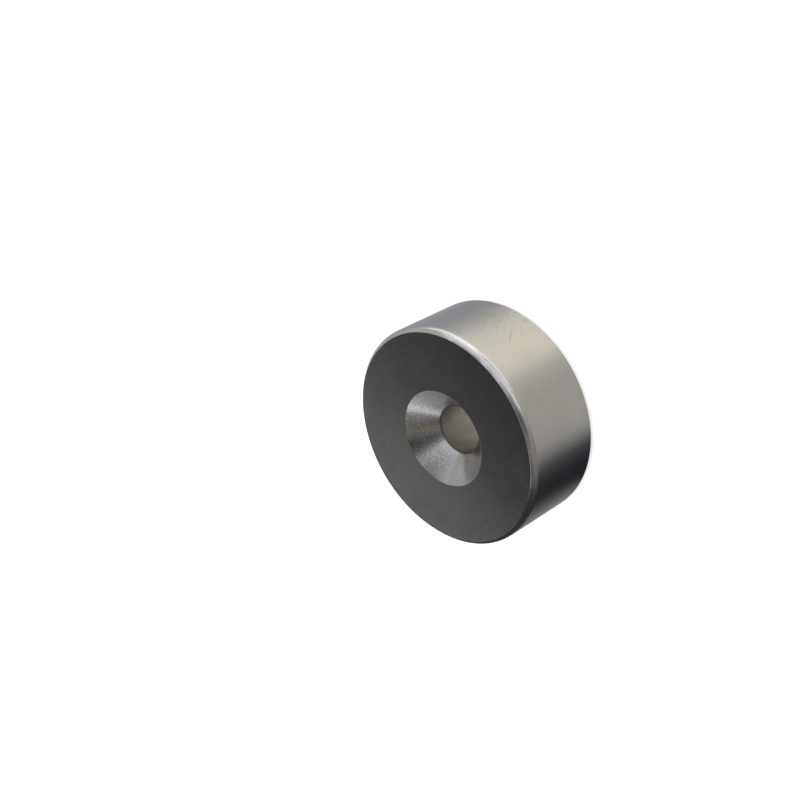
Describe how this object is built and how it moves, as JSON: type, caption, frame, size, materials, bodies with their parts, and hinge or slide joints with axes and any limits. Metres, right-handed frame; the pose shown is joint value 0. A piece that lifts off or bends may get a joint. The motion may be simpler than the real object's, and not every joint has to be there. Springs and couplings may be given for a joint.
{
  "type": "countersunk ring magnet",
  "caption": "Nickel-plated disc magnet with a straight hole and a 90 degree countersink, held to a surface by a flush countersunk screw.",
  "frame": {"origin": "centre of the plain back face, on the axis of the hole", "axes": "+Z along the axis, out of the countersunk face; X and Y are free, as the part is a body of revolution"},
  "size_m": [0.05, 0.05, 0.02],
  "materials": {
    "nickel_plate": "satin nickel plate"
  },
  "bodies": {
    "root": {"magnet": "nickel_plate"}
  },
  "joints": []
}
